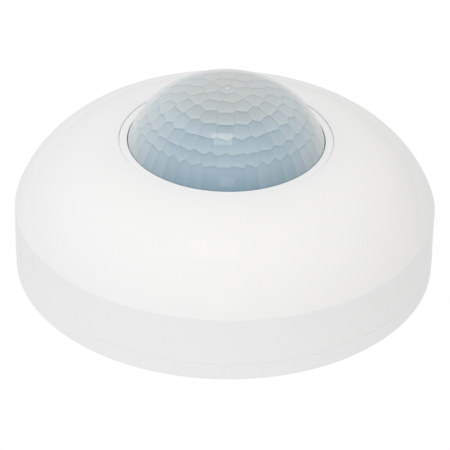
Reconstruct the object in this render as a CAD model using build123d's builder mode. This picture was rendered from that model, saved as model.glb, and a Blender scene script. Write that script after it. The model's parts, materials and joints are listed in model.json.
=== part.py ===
"""Round ceiling motion sensor: a mounting base with a terminal block, and a twist-on head with a lens.

Millimetres. The ceiling face lies at height zero, +Z runs towards the lens and the front looks along -Y.
"""

import os
from math import acos, cos, radians, sin, sqrt

from build123d import *

os.makedirs("parts", exist_ok=True)

# How far a cut runs past the piece it cuts, and how far two bodies of one piece run into each other
CUT_MARGIN = 1.0
MERGE = 1.0

# Overall shape
RIM_RADIUS = 57.5
RIM_TOP = 5.0
RIM_EDGE = 0.5
SEAM_GAP = 0.02
SKIRT_BOTTOM = RIM_TOP + SEAM_GAP
SKIRT_FOOT_RADIUS = 57.45
SHOULDER_RADIUS = 57.25
SHOULDER_EDGE = 0.6
DOME_RADIUS = 30.1
DOME_CENTRE_RADIUS = 29.15
DOME_CENTRE_HEIGHT = 7.76
COVER_WALL = 2.2
SKIRT_INSIDE_RADIUS = 55.2
OPENING_RADIUS = 28.85
OPENING_LIP = 0.25

# Side panel over the surface cable entry
PANEL_PROUD = 0.1
PANEL_ROOT = 56.4
PANEL_START = 166.0
PANEL_END = 209.0
PANEL_TOP = 17.0
ENTRY_MARGIN = 7.0

# Lens: a superellipse of revolution over a straight neck
LENS_BASE_RADIUS = 26.47
LENS_SEMI_RADIUS = 30.0
LENS_SEMI_HEIGHT = 42.1
LENS_CENTRE_HEIGHT = 10.92
LENS_POWER = 2.71
LENS_WALL = 0.9
LENS_CURVE_POINTS = 9
LENS_FLANGE_RADIUS = 30.2
LENS_FLANGE_LOW = 33.9
LENS_FLANGE_HIGH = 34.9
NUB_RADIUS = 0.45
NUB_HEIGHT = 0.12
NUB_EDGE = 0.1

# Bezel and the ring that holds it
BEZEL_INSIDE = 26.65
BEZEL_OUTSIDE = 28.83
BEZEL_LOW = 34.95
BEZEL_TOP = 37.6
BEZEL_FLANGE_RADIUS = 31.0
BEZEL_FLANGE_TOP = 35.45
BEZEL_EDGE = 0.2
RETAINER_INSIDE = 24.8
RETAINER_OUTSIDE = 31.5
RETAINER_LOW = 32.5
RETAINER_HIGH = 33.85
EAR_CIRCLE = 34.3
EAR_RADIUS = 2.9
EAR_BOSS_LOW = 33.9
EAR_BOSS_RADIUS = 2.6
EAR_PILOT_TOP = 36.45
EAR_START = 90.0

# Mounting base
FLOOR = 2.4
COLLAR_OUTSIDE = 54.8
COLLAR_INSIDE = 52.6
COLLAR_TOP = 14.4
CABLE_HOLE_RADIUS = 9.0
SLOT_SPACING = 72.0
SLOT_RADIUS = 2.25
SLOT_LENGTH = 9.0
ROUND_HOLE_SPACING = 68.0
PAD_RIM = 2.6
PAD_TOP = 3.4
RIB_THICKNESS = 1.4
RIB_TOP = 4.6
RIB_START = 27.0
RIB_END = 43.0
RIB_AZIMUTHS = (210.0, 240.0, 300.0, 330.0)

# Back of the base: a moulding groove near the rim and thin rings round the spare cable entries
BACK_GROOVE_RADIUS = 52.0
BACK_GROOVE_WIDTH = 1.2
BACK_GROOVE_DEPTH = 0.8
SPARE_ENTRIES = 4
SPARE_START = 45.0
SPARE_CIRCLE = 30.0
SPARE_RADIUS = 5.2
SPARE_WIDTH = 0.6
SPARE_DEPTH = 1.5

# Bayonet
HOOKS = 3
HOOK_START = 90.0
HOOK_HALF = 6.0
HOOK_INSIDE = 44.8
HOOK_LEG_OUTSIDE = 47.2
HOOK_FOOT_OUTSIDE = 51.6
HOOK_LOW = 4.8
HOOK_FOOT_HIGH = 6.4
LEDGE_INSIDE = 47.8
LEDGE_LOW = 6.8
LEDGE_HIGH = 8.4
LEDGE_BACK = 9.0
LEDGE_FRONT = 7.0
STOP_WIDTH = 2.0
FAR_STOP = 26.0

# Chassis of the head
PLATE_LOW = 12.0
PLATE_HIGH = 13.8
PLATE_RADIUS = 52.0
PLATE_WALL = 1.8
FLANGE_LOW = 15.0
FLANGE_HIGH = 16.6
FLANGE_RADIUS = 54.9
POCKET_INSIDE = 25.0
POCKET_OUTSIDE = 26.8
POCKET_CEILING = 17.2
POCKET_TOP = 19.0
COVER_SCREW_CIRCLE = 48.5
COVER_SCREW_START = 30.0
COVER_BOSS_RADIUS = 3.2
COVER_BOSS_LOW = 16.65
COVER_PILOT_TOP = 25.5
POST_CIRCLE = 36.0
POST_START = 0.0
POST_RADIUS = 2.6
POST_PILOT_LOW = 14.8

# Circuit board
BOARD_LOW = 28.0
BOARD_HIGH = 29.6
BOARD_RADIUS = 40.0
BOARD_HOLE_RADIUS = 1.3
SOLDER_GAP = 0.05

# Screws
SCREW_COUNT = 3
PILOT_RADIUS = 1.0
THREAD_RADIUS = 0.95
SCREW_HEAD_RADIUS = 1.9
SCREW_HEAD_HEIGHT = 1.3
COVER_PILOT_RADIUS = 1.4
COVER_THREAD_RADIUS = 1.35
COVER_HEAD_RADIUS = 2.6
COVER_HEAD_HEIGHT = 1.7
COVER_SCREW_END_GAP = 1.0
BOARD_SCREW_LENGTH = 8.0
CROSS_WIDTH = 0.5
CROSS_SHARE = 1.1
CROSS_DEPTH = 0.7
CLEARANCE = 0.15

# Terminal block on the base
POLES = 3
POLE_PITCH = 34.0
POLE_START = 56.0
BLOCK_INSIDE = 9.8
BLOCK_OUTSIDE = 23.6
BLOCK_START = 37.0
BLOCK_END = 143.0
BLOCK_TOP = 15.2
CONTACT_LAG = 9.0
TRACK_INSIDE = 18.6
TRACK_OUTSIDE = 21.4
TRACK_FLOOR = 4.4
TRACK_BEFORE = 7.0
TRACK_AFTER = 24.0
CLAMP_CIRCLE = 14.0
CLAMP_LENGTH = 6.0
CLAMP_WIDTH = 4.4
CLAMP_LOW = 5.2
CLAMP_HIGH = 11.4
CLAMP_GAP = 0.2
WIRE_HEIGHT = 7.6
WIRE_RADIUS = 1.35
WIRE_ENTRY_RADIUS = 1.6
WELL_RADIUS = 2.25
SPRING_HALF = 6.0
SPRING_INSIDE = 18.9
SPRING_OUTSIDE = 21.1
SPRING_LOW = 4.8
SPRING_WEB = 0.8
SPRING_HIGH = 13.6
STRAP_LOW_SIDE = -2.0
STRAP_HIGH_SIDE = -0.5
STRAP_TOP = 6.3
BLADE_CIRCLE = 20.0
BLADE_THICKNESS = 0.8
BLADE_GRIP = 0.08
BLADE_HALF = 5.0
BLADE_LOW = 7.0
BLADE_FOOT = 0.7
BLADE_FOOT_SIDE = 1.3
BLADE_SLOT_MARGIN = 0.5
TERMINAL_THREAD_RADIUS = 1.25
TERMINAL_CLEARANCE = 0.06
TERMINAL_SCREW_LOW = 9.2
TERMINAL_HEAD_LOW = 11.8
TERMINAL_HEAD_HIGH = 13.5
TERMINAL_HEAD_RADIUS = 2.0
DRIVER_SLOT_WIDTH = 0.6
DRIVER_SLOT_DEPTH = 0.9

# Grommet in the cable entry
GROMMET_BORE = 3.6
GROMMET_LIP_RADIUS = 9.75
GROMMET_LIP = 0.9
GROMMET_LOW = 0.3
GROMMET_TUBE_RADIUS = 5.4
GROMMET_TUBE_TOP = 6.6
GROMMET_WEB = 1.0
GROMMET_NECK = 8.95

# Detector
HOLDER_RADIUS = 6.8
HOLDER_TOP = 31.6
HOLDER_RIM_TOP = 32.7
HOLDER_SEAT = 4.85
HEADER_RADIUS = 4.6
HEADER_THICKNESS = 0.6
HEADER_TAB = 0.8
HEADER_TAB_WIDTH = 1.0
NOTCH_DEPTH = 1.0
NOTCH_WIDTH = 2.0
CAN_RADIUS = 4.15
CAN_WALL = 0.25
CAN_TOP = 35.7
WINDOW_LENGTH = 4.0
WINDOW_WIDTH = 3.0
WINDOW_OVERLAP = 0.7
WINDOW_THICKNESS = 0.4
PINS = 3
PIN_CIRCLE = 2.54
PIN_RADIUS = 0.225
PIN_LOW = 26.6
PIN_HOLE_RADIUS = 0.4
PIN_START = 45.0
PIN_STEP = 90.0

# Small parts on the lens side of the board
LED_PLACE = (10.5, -8.0)
LED_RADIUS = 1.5
LED_SHOULDER_RADIUS = 1.9
LED_SHOULDER = 1.0
LED_HEIGHT = 4.4
CELL_PLACE = (-10.5, -8.0)
CELL_RADIUS = 2.6
CELL_HEIGHT = 2.0
CELL_FLAT = 2.2
CHIP_PLACE = (0.0, 14.5)
CHIP_LENGTH = 8.7
CHIP_WIDTH = 3.9
CHIP_LOW = 0.15
CHIP_HEIGHT = 1.5
CHIP_LEGS = 7
CHIP_LEG_PITCH = 1.27
CHIP_LEG_WIDTH = 0.42
CHIP_LEG_REACH = 1.05
CHIP_LEG_THICKNESS = 0.2
CHIP_PART_LENGTH = 2.0
CHIP_PART_WIDTH = 1.25
CHIP_PART_HEIGHT = 0.6
CHIP_PART_ROWS = 4
CHIP_PART_PITCH = 3.4
CHIP_PART_COLUMN = 14.0

# Parts on the base side of the board, each given by its circle and azimuth
ANNULUS = 33.5
RELAY_AZIMUTH = 30.0
RELAY_LENGTH = 18.0
RELAY_WIDTH = 10.4
RELAY_HEIGHT = 12.6
RELAY_EDGE = 0.5
MAINS_AZIMUTH = 75.0
MAINS_LENGTH = 18.0
MAINS_WIDTH = 8.4
MAINS_HEIGHT = 13.0
MAINS_EDGE = 0.6
LARGE_CAP_AZIMUTH = 104.0
LARGE_CAP_RADIUS = 5.0
LARGE_CAP_HEIGHT = 12.8
SMALL_CAP_AZIMUTH = 137.0
SMALL_CAP_RADIUS = 3.15
SMALL_CAP_HEIGHT = 8.2
CAP_GROOVE_HEIGHT = 1.6
CAP_GROOVE_DEPTH = 0.35
CAP_GROOVE_WIDTH = 0.6
CAP_VENT_WIDTH = 0.25
CAP_VENT_SHARE = 1.3
CAP_VENT_DEPTH = 0.15
VARISTOR_AZIMUTH = 222.0
VARISTOR_RADIUS = 4.2
VARISTOR_THICKNESS = 3.6
VARISTOR_EDGE = 1.2
VARISTOR_LEG = 1.6
VARISTOR_LEG_PITCH = 5.0
LEG_RADIUS = 0.3
POWER_AZIMUTH = 262.0
POWER_RADIUS = 1.9
POWER_LENGTH = 10.0
FUSE_AZIMUTH = 287.0
FUSE_RADIUS = 1.6
FUSE_LENGTH = 8.0
AXIAL_LIFT = 0.6
AXIAL_LEAD = 1.5
DIODE_AZIMUTH = 312.0
DIODE_STEP = 7.5
DIODES = 4
DIODE_RADIUS = 1.3
DIODE_LENGTH = 4.6
DIODE_LEAD = 1.2
CHOKE_AZIMUTH = 350.0
CHOKE_CIRCLE = 32.0
CHOKE_RADIUS = 3.4
CHOKE_NECK = 2.6
CHOKE_HEIGHT = 9.0
CHOKE_FLANGE = 1.4

# Setting trimmers and their knobs
TIME_AZIMUTH = 162.0
LUX_AZIMUTH = 198.0
TRIMMER_CIRCLE = 33.0
TRIMMER_SIDE = 8.0
TRIMMER_HEIGHT = 4.2
TRIMMER_BORE = 1.6
TRIMMER_BORE_DEPTH = 3.4
SPINDLE_CLEARANCE = 0.06
SPINDLE_RADIUS = TRIMMER_BORE - SPINDLE_CLEARANCE
SPINDLE_END_GAP = 0.2
KNOB_RADIUS = 3.6
KNOB_LOW = 11.2
KNOB_HIGH = 14.4
KNOB_HOLE_RADIUS = 3.8
KNOB_SLOT_WIDTH = 0.9
KNOB_SLOT_LENGTH = 5.4
KNOB_SLOT_DEPTH = 1.2
KNOB_ARROW = 1.6


def ring(outside, inside, low, high, mode=Mode.ADD):
    """A plain ring about the main axis, or a disc when inside is zero."""
    with BuildSketch(Plane.XY.offset(low)) as profile:
        Circle(outside)
        if inside > 0:
            Circle(inside, mode=Mode.SUBTRACT)
    extrude(profile.sketch, amount=high - low, mode=mode)


def sector(outside, inside, start, end, low, high, mode=Mode.ADD):
    """The part of a ring between two azimuths in degrees."""
    with BuildSketch(Plane.XY.offset(low)) as profile:
        with BuildLine():
            outer_arc = CenterArc((0, 0), outside, start, end - start)
            inner_arc = CenterArc((0, 0), inside, start, end - start)
            Line(outer_arc @ 0, inner_arc @ 0)
            Line(outer_arc @ 1, inner_arc @ 1)
        make_face()
    extrude(profile.sketch, amount=high - low, mode=mode)


def turned(azimuth, height=0.0):
    """A level plane whose first axis points outwards at the azimuth."""
    direction = (cos(radians(azimuth)), sin(radians(azimuth)), 0)
    return Plane(origin=(0, 0, height), x_dir=direction, z_dir=(0, 0, 1))


def bar(azimuth, out_low, out_high, side_low, side_high, low, high, mode=Mode.ADD):
    """A block given in a frame turned to the azimuth: outwards, sideways and up."""
    with BuildSketch(turned(azimuth, low)) as profile:
        with Locations(((out_low + out_high) / 2, (side_low + side_high) / 2)):
            Rectangle(out_high - out_low, side_high - side_low)
    extrude(profile.sketch, amount=high - low, mode=mode)


def post(azimuth, circle, radius, low, high, mode=Mode.ADD):
    """An upright cylinder at a polar position."""
    with BuildSketch(turned(azimuth, low)) as profile:
        with Locations((circle, 0)):
            Circle(radius)
    extrude(profile.sketch, amount=high - low, mode=mode)


def cross_screws(circle, start, seat, up, thread, length, head_radius, head_height):
    """Evenly spaced cross-head screws that seat at one height; up is 1 or -1, the way the threads point."""
    with PolarLocations(circle, SCREW_COUNT, start):
        with Locations((0, 0, seat + up * length / 2)):
            Cylinder(thread, length)
        with Locations((0, 0, seat - up * head_height / 2)):
            Cylinder(head_radius, head_height)
        with Locations((0, 0, seat - up * head_height)):
            Box(head_radius * CROSS_SHARE, CROSS_WIDTH, CROSS_DEPTH * 2, mode=Mode.SUBTRACT)
            Box(CROSS_WIDTH, head_radius * CROSS_SHARE, CROSS_DEPTH * 2, mode=Mode.SUBTRACT)


def dome_height(radius, shell):
    """Height of the dome at a radius; shell is the distance inwards from the outer surface."""
    return DOME_CENTRE_HEIGHT + sqrt((DOME_RADIUS - shell) ** 2 - (radius - DOME_CENTRE_RADIUS) ** 2)


def dome_middle(radius_in, radius_out, shell):
    """The point halfway round the dome's arc between two radii."""
    reach = DOME_RADIUS - shell
    angle_in = acos((radius_in - DOME_CENTRE_RADIUS) / reach)
    angle_out = acos((radius_out - DOME_CENTRE_RADIUS) / reach)
    middle = (angle_in + angle_out) / 2
    return (DOME_CENTRE_RADIUS + reach * cos(middle), DOME_CENTRE_HEIGHT + reach * sin(middle))


def skirt_radius(height):
    """Outer radius of the skirt, which narrows slightly from its foot to the shoulder."""
    share = (height - SKIRT_BOTTOM) / (dome_height(SHOULDER_RADIUS, 0) - SKIRT_BOTTOM)
    return SKIRT_FOOT_RADIUS + (SHOULDER_RADIUS - SKIRT_FOOT_RADIUS) * share


def lens_height(radius, shell):
    """Height of the lens at a radius; shell thins both half axes."""
    share = (radius / (LENS_SEMI_RADIUS - shell)) ** LENS_POWER
    return LENS_CENTRE_HEIGHT + (LENS_SEMI_HEIGHT - shell) * (1 - share) ** (1 / LENS_POWER)


# ---- mounting base -------------------------------------------------------------------------------

HOOK_AZIMUTHS = [HOOK_START + 360 / HOOKS * index for index in range(HOOKS)]
POLE_AZIMUTHS = [POLE_START + POLE_PITCH * index for index in range(POLES)]

with BuildPart() as mounting_base:
    ring(RIM_RADIUS, 0, 0, FLOOR)
    ring(RIM_RADIUS, COLLAR_OUTSIDE, FLOOR, RIM_TOP)
    ring(COLLAR_OUTSIDE, COLLAR_INSIDE, FLOOR, COLLAR_TOP)
    fillet(mounting_base.edges().filter_by(GeomType.CIRCLE).group_by(Axis.Z)[0], radius=RIM_EDGE)
    # The collar opens behind the side panel, so that a surface cable can come in
    entry_start = PANEL_START + ENTRY_MARGIN
    entry_end = PANEL_END - ENTRY_MARGIN
    sector(
        COLLAR_OUTSIDE + CUT_MARGIN,
        COLLAR_INSIDE - CUT_MARGIN,
        entry_start,
        entry_end,
        RIM_TOP,
        COLLAR_TOP + CUT_MARGIN,
        Mode.SUBTRACT,
    )
    # Ledges that the hooks turn under, each with a stop, and a second stop at the open position
    for azimuth in HOOK_AZIMUTHS:
        back = azimuth - LEDGE_BACK
        sector(COLLAR_INSIDE + MERGE, LEDGE_INSIDE, back, azimuth + LEDGE_FRONT, LEDGE_LOW, LEDGE_HIGH)
        sector(COLLAR_INSIDE + MERGE, LEDGE_INSIDE, back, back + STOP_WIDTH, FLOOR, LEDGE_HIGH)
        stop = azimuth + FAR_STOP
        sector(COLLAR_INSIDE + MERGE, LEDGE_INSIDE, stop, stop + STOP_WIDTH, FLOOR, HOOK_FOOT_HIGH)
    # Stiffening ribs on the floor, clear of the screw holes, the terminal block and the hooks
    for azimuth in RIB_AZIMUTHS:
        bar(azimuth, RIB_START, RIB_END, -RIB_THICKNESS / 2, RIB_THICKNESS / 2, FLOOR, RIB_TOP)
    # Raised pads round the fixing holes
    with BuildSketch(Plane.XY.offset(FLOOR)) as pads:
        with Locations((-SLOT_SPACING / 2, 0), (SLOT_SPACING / 2, 0)):
            SlotOverall(SLOT_LENGTH + 2 * PAD_RIM, 2 * (SLOT_RADIUS + PAD_RIM))
        with Locations((0, -ROUND_HOLE_SPACING / 2), (0, ROUND_HOLE_SPACING / 2)):
            Circle(SLOT_RADIUS + PAD_RIM)
    extrude(amount=PAD_TOP - FLOOR)
    with BuildSketch(Plane.XY) as fixing_holes:
        with Locations((-SLOT_SPACING / 2, 0), (SLOT_SPACING / 2, 0)):
            SlotOverall(SLOT_LENGTH, 2 * SLOT_RADIUS)
        with Locations((0, -ROUND_HOLE_SPACING / 2), (0, ROUND_HOLE_SPACING / 2)):
            Circle(SLOT_RADIUS)
        Circle(CABLE_HOLE_RADIUS)
    extrude(amount=PAD_TOP, mode=Mode.SUBTRACT)
    with BuildSketch(Plane.XY) as back_groove:
        Circle(BACK_GROOVE_RADIUS)
        Circle(BACK_GROOVE_RADIUS - BACK_GROOVE_WIDTH, mode=Mode.SUBTRACT)
    extrude(amount=BACK_GROOVE_DEPTH, mode=Mode.SUBTRACT)
    with BuildSketch(Plane.XY) as spare_entries:
        with PolarLocations(SPARE_CIRCLE, SPARE_ENTRIES, SPARE_START):
            Circle(SPARE_RADIUS)
            Circle(SPARE_RADIUS - SPARE_WIDTH, mode=Mode.SUBTRACT)
    extrude(amount=SPARE_DEPTH, mode=Mode.SUBTRACT)

with BuildPart() as cable_grommet:
    with BuildSketch(Plane.XZ) as grommet_section:
        with BuildLine():
            Polyline(
                (GROMMET_BORE, GROMMET_LOW),
                (GROMMET_NECK, GROMMET_LOW),
                (GROMMET_NECK, FLOOR + SEAM_GAP),
                (GROMMET_LIP_RADIUS, FLOOR + SEAM_GAP),
                (GROMMET_LIP_RADIUS, FLOOR + GROMMET_LIP),
                (GROMMET_TUBE_RADIUS, FLOOR + GROMMET_LIP),
                (GROMMET_BORE + GROMMET_WEB, GROMMET_TUBE_TOP),
                (GROMMET_BORE, GROMMET_TUBE_TOP),
                close=True,
            )
        make_face()
    revolve(axis=Axis.Z)

# ---- terminal block, its contacts and its screws -------------------------------------------------

with BuildPart() as terminal_block:
    sector(BLOCK_OUTSIDE, BLOCK_INSIDE, BLOCK_START, BLOCK_END, FLOOR + SEAM_GAP, BLOCK_TOP)
    for azimuth in POLE_AZIMUTHS:
        contact = azimuth - CONTACT_LAG
        sector(
            TRACK_OUTSIDE,
            TRACK_INSIDE,
            contact - TRACK_BEFORE,
            contact + TRACK_AFTER,
            TRACK_FLOOR,
            BLOCK_TOP,
            Mode.SUBTRACT,
        )
        room = CLAMP_LENGTH / 2 + CLAMP_GAP
        side = CLAMP_WIDTH / 2 + CLAMP_GAP
        low = CLAMP_LOW - CLAMP_GAP
        high = CLAMP_HIGH + CLAMP_GAP
        bar(azimuth, CLAMP_CIRCLE - room, CLAMP_CIRCLE + room, -side, side, low, high, Mode.SUBTRACT)
        strap_low = STRAP_LOW_SIDE - CLAMP_GAP
        strap_high = STRAP_HIGH_SIDE + CLAMP_GAP
        strap_top = STRAP_TOP + CLAMP_GAP
        strap_end = TRACK_INSIDE + CLAMP_GAP
        bar(azimuth, CLAMP_CIRCLE, strap_end, strap_low, strap_high, low, strap_top, Mode.SUBTRACT)
        post(azimuth, CLAMP_CIRCLE, WELL_RADIUS, CLAMP_HIGH, BLOCK_TOP, Mode.SUBTRACT)
        entry = Plane(origin=turned(azimuth, WIRE_HEIGHT).origin, z_dir=turned(azimuth).x_dir)
        with BuildSketch(entry.offset(BLOCK_INSIDE - CUT_MARGIN)) as wire_entry:
            Circle(WIRE_ENTRY_RADIUS)
        extrude(wire_entry.sketch, amount=CLAMP_CIRCLE - BLOCK_INSIDE, mode=Mode.SUBTRACT)

with BuildPart() as terminal_contacts:
    for azimuth in POLE_AZIMUTHS:
        contact = azimuth - CONTACT_LAG
        near = CLAMP_CIRCLE - CLAMP_LENGTH / 2
        far = CLAMP_CIRCLE + CLAMP_LENGTH / 2
        bar(azimuth, near, far, -CLAMP_WIDTH / 2, CLAMP_WIDTH / 2, CLAMP_LOW, CLAMP_HIGH)
        strap_end = SPRING_INSIDE + SPRING_WEB / 2
        bar(azimuth, far - MERGE, strap_end, STRAP_LOW_SIDE, STRAP_HIGH_SIDE, CLAMP_LOW, STRAP_TOP)
        start = contact - SPRING_HALF
        end = contact + SPRING_HALF
        sector(SPRING_OUTSIDE, SPRING_INSIDE, start, end, SPRING_LOW, SPRING_HIGH)
        inner_gap = BLADE_CIRCLE - BLADE_THICKNESS / 2 - BLADE_GRIP
        outer_gap = BLADE_CIRCLE + BLADE_THICKNESS / 2 + BLADE_GRIP
        low = SPRING_LOW + SPRING_WEB
        high = SPRING_HIGH + CUT_MARGIN
        sector(outer_gap, inner_gap, start - CUT_MARGIN, end + CUT_MARGIN, low, high, Mode.SUBTRACT)
        entry = Plane(origin=turned(azimuth, WIRE_HEIGHT).origin, z_dir=turned(azimuth).x_dir)
        with BuildSketch(entry.offset(near - CUT_MARGIN)) as wire_hole:
            Circle(WIRE_RADIUS)
        extrude(wire_hole.sketch, amount=CLAMP_LENGTH, mode=Mode.SUBTRACT)
        thread = TERMINAL_THREAD_RADIUS + TERMINAL_CLEARANCE
        post(azimuth, CLAMP_CIRCLE, thread, WIRE_HEIGHT, CLAMP_HIGH + CUT_MARGIN, Mode.SUBTRACT)


def terminal_screw(azimuth):
    """A slotted screw standing in its clamp; the tip ends above the wire."""
    post(azimuth, CLAMP_CIRCLE, TERMINAL_THREAD_RADIUS, TERMINAL_SCREW_LOW, TERMINAL_HEAD_LOW + CLEARANCE)
    post(azimuth, CLAMP_CIRCLE, TERMINAL_HEAD_RADIUS, TERMINAL_HEAD_LOW, TERMINAL_HEAD_HIGH)
    across = TERMINAL_HEAD_RADIUS + CUT_MARGIN
    half = DRIVER_SLOT_WIDTH / 2
    low = TERMINAL_HEAD_HIGH - DRIVER_SLOT_DEPTH
    near = CLAMP_CIRCLE - half
    far = CLAMP_CIRCLE + half
    bar(azimuth, near, far, -across, across, low, TERMINAL_HEAD_HIGH + CUT_MARGIN, Mode.SUBTRACT)


with BuildPart() as live_screw:
    terminal_screw(POLE_AZIMUTHS[0])
with BuildPart() as neutral_screw:
    terminal_screw(POLE_AZIMUTHS[1])
with BuildPart() as load_screw:
    terminal_screw(POLE_AZIMUTHS[2])

# ---- cover ---------------------------------------------------------------------------------------

COVER_BOSSES = [COVER_SCREW_START + 360 / SCREW_COUNT * index for index in range(SCREW_COUNT)]
EAR_AZIMUTHS = [EAR_START + 360 / SCREW_COUNT * index for index in range(SCREW_COUNT)]
LIP_TOP = dome_height(OPENING_RADIUS, 0)
CEILING = dome_height(OPENING_RADIUS, COVER_WALL)

with BuildPart() as cover_bosses:
    for azimuth in COVER_BOSSES:
        post(azimuth, COVER_SCREW_CIRCLE, COVER_BOSS_RADIUS, COVER_BOSS_LOW, LIP_TOP)
    for azimuth in EAR_AZIMUTHS:
        post(azimuth, EAR_CIRCLE, EAR_BOSS_RADIUS, EAR_BOSS_LOW, LIP_TOP)
    # Trimmed to end inside the thickness of the dome
    with BuildSketch(Plane.XZ) as boss_limit:
        with BuildLine():
            half_wall = COVER_WALL / 2
            limit_out = SKIRT_INSIDE_RADIUS
            top = Line((OPENING_RADIUS, 0), (OPENING_RADIUS, dome_height(OPENING_RADIUS, half_wall)))
            arc = ThreePointArc(
                top @ 1,
                dome_middle(OPENING_RADIUS, limit_out, half_wall),
                (limit_out, dome_height(limit_out, half_wall)),
            )
            Line(arc @ 1, (limit_out, 0))
            Line((limit_out, 0), (OPENING_RADIUS, 0))
        make_face()
    revolve(axis=Axis.Z, mode=Mode.INTERSECT)

with BuildPart() as top_cover:
    with BuildSketch(Plane.XZ) as cover_section:
        with BuildLine():
            outer_foot = (SKIRT_FOOT_RADIUS, SKIRT_BOTTOM)
            shoulder = (SHOULDER_RADIUS, dome_height(SHOULDER_RADIUS, 0))
            inner_foot = (SKIRT_INSIDE_RADIUS, SKIRT_BOTTOM)
            inner_shoulder = (SKIRT_INSIDE_RADIUS, dome_height(SKIRT_INSIDE_RADIUS, COVER_WALL))
            Line(outer_foot, shoulder)
            outer_middle = dome_middle(DOME_CENTRE_RADIUS, SHOULDER_RADIUS, 0)
            ThreePointArc(shoulder, outer_middle, (OPENING_RADIUS, LIP_TOP))
            Line((OPENING_RADIUS, LIP_TOP), (OPENING_RADIUS, CEILING))
            ThreePointArc(
                (OPENING_RADIUS, CEILING),
                dome_middle(DOME_CENTRE_RADIUS, SKIRT_INSIDE_RADIUS, COVER_WALL),
                inner_shoulder,
            )
            Line(inner_shoulder, inner_foot)
            Line(inner_foot, outer_foot)
        make_face()
    revolve(axis=Axis.Z)
    rims = top_cover.edges().filter_by(GeomType.CIRCLE)
    lip = rims.group_by(Axis.Z)[-1].sort_by(SortBy.RADIUS)[0]
    fillet(lip, radius=OPENING_LIP)
    rims = top_cover.edges().filter_by(GeomType.CIRCLE)
    shoulder_edge = rims.filter_by(lambda edge: abs(edge.radius - SHOULDER_RADIUS) < CLEARANCE)
    fillet(shoulder_edge, radius=SHOULDER_EDGE)
    add(cover_bosses.part)
    # The panel on the skirt, slightly proud of it all the way up
    panel_out = turned(PANEL_START)
    panel_plane = Plane(origin=(0, 0, 0), x_dir=panel_out.x_dir, z_dir=-panel_out.y_dir)
    with BuildSketch(panel_plane) as panel_section:
        with BuildLine():
            Polyline(
                (PANEL_ROOT, SKIRT_BOTTOM),
                (skirt_radius(SKIRT_BOTTOM) + PANEL_PROUD, SKIRT_BOTTOM),
                (skirt_radius(PANEL_TOP) + PANEL_PROUD, PANEL_TOP),
                (PANEL_ROOT, PANEL_TOP),
                close=True,
            )
        make_face()
    revolve(panel_section.sketch, axis=Axis.Z, revolution_arc=PANEL_END - PANEL_START)
    for azimuth in COVER_BOSSES:
        post(azimuth, COVER_SCREW_CIRCLE, COVER_PILOT_RADIUS, COVER_BOSS_LOW, COVER_PILOT_TOP, Mode.SUBTRACT)
    for azimuth in EAR_AZIMUTHS:
        post(azimuth, EAR_CIRCLE, PILOT_RADIUS, EAR_BOSS_LOW, EAR_PILOT_TOP, Mode.SUBTRACT)

# ---- lens, bezel and retainer --------------------------------------------------------------------


def lens_curve(shell, base):
    """Points down the lens from the pole to the base radius, evenly spread along the curve."""
    points = []
    for index in range(LENS_CURVE_POINTS):
        share = index / (LENS_CURVE_POINTS - 1)
        radius = base * sin(radians(90 * share))
        points.append((radius, lens_height(radius, shell)))
    return points


with BuildPart() as fresnel_lens:
    inner_base = LENS_BASE_RADIUS - LENS_WALL
    with BuildSketch(Plane.XZ) as lens_section:
        with BuildLine():
            outside = lens_curve(0, LENS_BASE_RADIUS)
            inside = lens_curve(LENS_WALL, inner_base)
            Spline(*outside)
            Line(outside[-1], (LENS_BASE_RADIUS, LENS_FLANGE_HIGH))
            Line((LENS_BASE_RADIUS, LENS_FLANGE_HIGH), (LENS_FLANGE_RADIUS, LENS_FLANGE_HIGH))
            Line((LENS_FLANGE_RADIUS, LENS_FLANGE_HIGH), (LENS_FLANGE_RADIUS, LENS_FLANGE_LOW))
            Line((LENS_FLANGE_RADIUS, LENS_FLANGE_LOW), (inner_base, LENS_FLANGE_LOW))
            Line((inner_base, LENS_FLANGE_LOW), inside[-1])
            Spline(*inside)
            Line(inside[0], outside[0])
        make_face()
    revolve(axis=Axis.Z)
    # The moulding nub at the pole
    pole = LENS_CENTRE_HEIGHT + LENS_SEMI_HEIGHT
    ring(NUB_RADIUS, 0, pole - LENS_WALL / 2, pole + NUB_HEIGHT)
    fillet(fresnel_lens.edges().group_by(Axis.Z)[-1], radius=NUB_EDGE)

with BuildPart() as lens_bezel:
    ring(BEZEL_FLANGE_RADIUS, BEZEL_INSIDE, BEZEL_LOW, BEZEL_FLANGE_TOP)
    ring(BEZEL_OUTSIDE, BEZEL_INSIDE, BEZEL_LOW, BEZEL_TOP)
    fillet(lens_bezel.edges().filter_by(GeomType.CIRCLE).group_by(Axis.Z)[-1], radius=BEZEL_EDGE)

with BuildPart() as lens_retainer:
    ring(RETAINER_OUTSIDE, RETAINER_INSIDE, RETAINER_LOW, RETAINER_HIGH)
    for azimuth in EAR_AZIMUTHS:
        post(azimuth, EAR_CIRCLE, EAR_RADIUS, RETAINER_LOW, RETAINER_HIGH)
        ear_root = RETAINER_INSIDE + MERGE
        bar(azimuth, ear_root, EAR_CIRCLE, -EAR_RADIUS, EAR_RADIUS, RETAINER_LOW, RETAINER_HIGH)
    for azimuth in EAR_AZIMUTHS:
        hole = PILOT_RADIUS + CLEARANCE
        post(azimuth, EAR_CIRCLE, hole, RETAINER_LOW, RETAINER_HIGH, Mode.SUBTRACT)

with BuildPart() as retainer_screws:
    reach = EAR_PILOT_TOP - RETAINER_LOW - CLEARANCE
    cross_screws(
        EAR_CIRCLE,
        EAR_START,
        RETAINER_LOW,
        1,
        THREAD_RADIUS,
        reach,
        SCREW_HEAD_RADIUS,
        SCREW_HEAD_HEIGHT,
    )

# ---- chassis -------------------------------------------------------------------------------------

POSTS = [POST_START + 360 / SCREW_COUNT * index for index in range(SCREW_COUNT)]

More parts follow.
